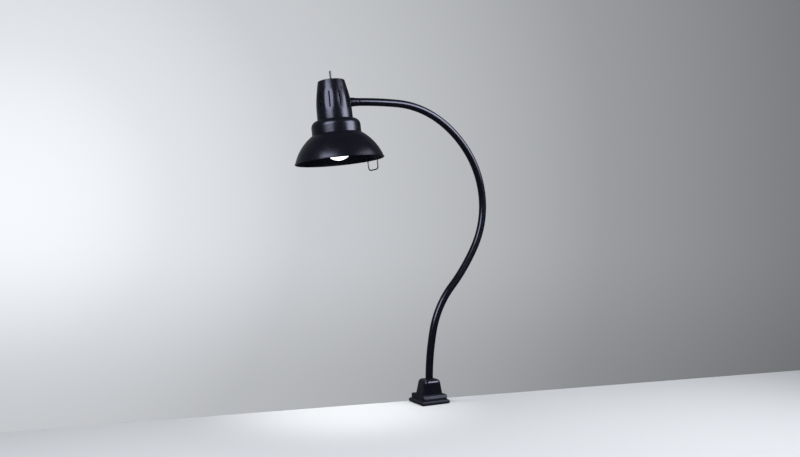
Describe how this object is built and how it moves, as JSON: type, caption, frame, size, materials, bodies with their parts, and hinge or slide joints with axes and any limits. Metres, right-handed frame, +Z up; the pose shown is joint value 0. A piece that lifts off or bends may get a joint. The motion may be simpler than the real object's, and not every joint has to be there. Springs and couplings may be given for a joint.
{
  "type": "clamp lamp",
  "caption": "Desk lamp with a C-clamp base, a long flexible neck and a bell-shaped metal shade with a wire handle and a toggle switch on top.",
  "frame": {"origin": "centre of the clamp's seat, on the table top", "axes": "+Z up, +Y towards the table's edge that the clamp reaches round, neck bent in the XZ plane with the head towards -X"},
  "size_m": [0.4729, 0.1902, 0.8525],
  "materials": {
    "black_enamel": "satin",
    "black_casting": "satin",
    "black_sleeve": "satin",
    "black_fitting": "gloss",
    "conduit_steel": "satin",
    "zinc_steel": "satin",
    "bright_chrome": "polished",
    "brass": "satin",
    "cap_aluminium": "satin",
    "opal_glass": "satin",
    "black_rubber": "matte",
    "black_moulding": "satin",
    "fibre": "matte",
    "lead_jacket": "matte",
    "wire_insulation": "matte"
  },
  "bodies": {
    "root": {"clamp_frame": "black_casting", "jaw_pad": "black_rubber", "housing_screws": "zinc_steel", "base_housing": "black_casting", "cord_grommet": "black_rubber", "neck_root_bush": "zinc_steel", "neck_sleeve_1": "black_sleeve", "neck_conduit_1": "conduit_steel", "neck_lead_1": "lead_jacket"},
    "pad": {"swivel_pad": "zinc_steel", "pad_face": "black_rubber"},
    "screw": {"clamp_screw": "zinc_steel", "clamp_knob": "black_moulding", "knob_pin": "zinc_steel"},
    "neck_2": {"neck_sleeve_2": "black_sleeve", "neck_conduit_2": "conduit_steel", "neck_lead_2": "lead_jacket"},
    "neck_3": {"neck_sleeve_3": "black_sleeve", "neck_conduit_3": "conduit_steel", "neck_lead_3": "lead_jacket"},
    "neck_4": {"neck_sleeve_4": "black_sleeve", "neck_conduit_4": "conduit_steel", "neck_lead_4": "lead_jacket"},
    "neck_5": {"neck_sleeve_5": "black_sleeve", "neck_conduit_5": "conduit_steel", "neck_lead_5": "lead_jacket"},
    "neck_6": {"neck_sleeve_6": "black_sleeve", "neck_conduit_6": "conduit_steel", "neck_lead_6": "lead_jacket"},
    "neck_7": {"neck_sleeve_7": "black_sleeve", "neck_conduit_7": "conduit_steel", "neck_lead_7": "lead_jacket"},
    "neck_8": {"neck_sleeve_8": "black_sleeve", "neck_conduit_8": "conduit_steel", "neck_lead_8": "lead_jacket", "neck_ferrule": "black_fitting", "swivel_nut": "black_fitting", "friction_washer": "fibre", "swivel_nipple": "zinc_steel", "swivel_locknut": "zinc_steel"},
    "head": {"socket_housing": "black_enamel", "shade": "black_enamel", "lampholder_body": "black_moulding", "screw_shell": "brass", "centre_contact": "brass", "shade_ring": "black_moulding", "socket_bracket": "zinc_steel", "bracket_screws": "zinc_steel", "terminal_screws": "brass", "switch_body": "black_moulding", "switch_bushing": "bright_chrome", "switch_nut": "bright_chrome", "live_wires": "wire_insulation", "neutral_wire": "wire_insulation", "wire_handle": "bright_chrome", "handle_rivets": "zinc_steel"},
    "lever": {"toggle_lever": "bright_chrome"},
    "bulb": {"bulb_glass": "opal_glass", "bulb_cap": "cap_aluminium", "bulb_contact": "black_moulding"}
  },
  "joints": [
    {"name": "neck_bend_1", "type": "hinge", "parent": "root", "child": "neck_2", "pos_m": [0.01014, 0, 0.15876], "axis": [0, -1, 0], "range_deg": [-30, 30]},
    {"name": "neck_bend_2", "type": "hinge", "parent": "neck_2", "child": "neck_3", "pos_m": [0.05977, 0, 0.25851], "axis": [-0.7431, 0, 0.6691], "range_deg": [-30, 30]},
    {"name": "neck_bend_3", "type": "hinge", "parent": "neck_3", "child": "neck_4", "pos_m": [0.12389, 0, 0.35095], "axis": [0, 1, 0], "range_deg": [-30, 30]},
    {"name": "neck_bend_4", "type": "hinge", "parent": "neck_4", "child": "neck_5", "pos_m": [0.14628, 0, 0.46003], "axis": [-0.9972, 0, -0.075], "range_deg": [-30, 30]},
    {"name": "neck_bend_5", "type": "hinge", "parent": "neck_5", "child": "neck_6", "pos_m": [0.10889, 0, 0.56504], "axis": [0, -1, 0], "range_deg": [-30, 30]},
    {"name": "neck_bend_6", "type": "hinge", "parent": "neck_6", "child": "neck_7", "pos_m": [0.02603, 0, 0.64017], "axis": [0.4894, 0, 0.8721], "range_deg": [-30, 30]},
    {"name": "neck_bend_7", "type": "hinge", "parent": "neck_7", "child": "neck_8", "pos_m": [-0.08196, 0, 0.6681], "axis": [0, 1, 0], "range_deg": [-30, 30]},
    {"name": "head_swivel", "type": "hinge", "parent": "neck_8", "child": "head", "pos_m": [-0.19828, 0, 0.6609], "axis": [0.9948, 0, 0.1018], "range_deg": [-90, 90]},
    {"name": "switch_toggle", "type": "hinge", "parent": "head", "child": "lever", "pos_m": [-0.24025, 0.00188, 0.70361], "axis": [-0.9071, 0.4064, -0.1092], "range_deg": [0, 24]},
    {"name": "bulb_unscrew", "type": "slide", "parent": "head", "child": "bulb", "axis": [0.1017, -0.0401, -0.994], "range_m": [0, 0.028]},
    {"name": "clamp_slide", "type": "slide", "parent": "root", "child": "pad", "axis": [0, 0, 1], "range_m": [-0.023, 0.025]},
    {"name": "clamp_turn", "type": "hinge", "parent": "pad", "child": "screw", "pos_m": [0, 0, -0.0425], "axis": [0, 0, 1], "range_deg": [-3313, 3601]}
  ],
  "couplings": [
    {"joint": "clamp_turn", "follows": "clamp_slide", "rad_per_m": 2513.3}
  ]
}
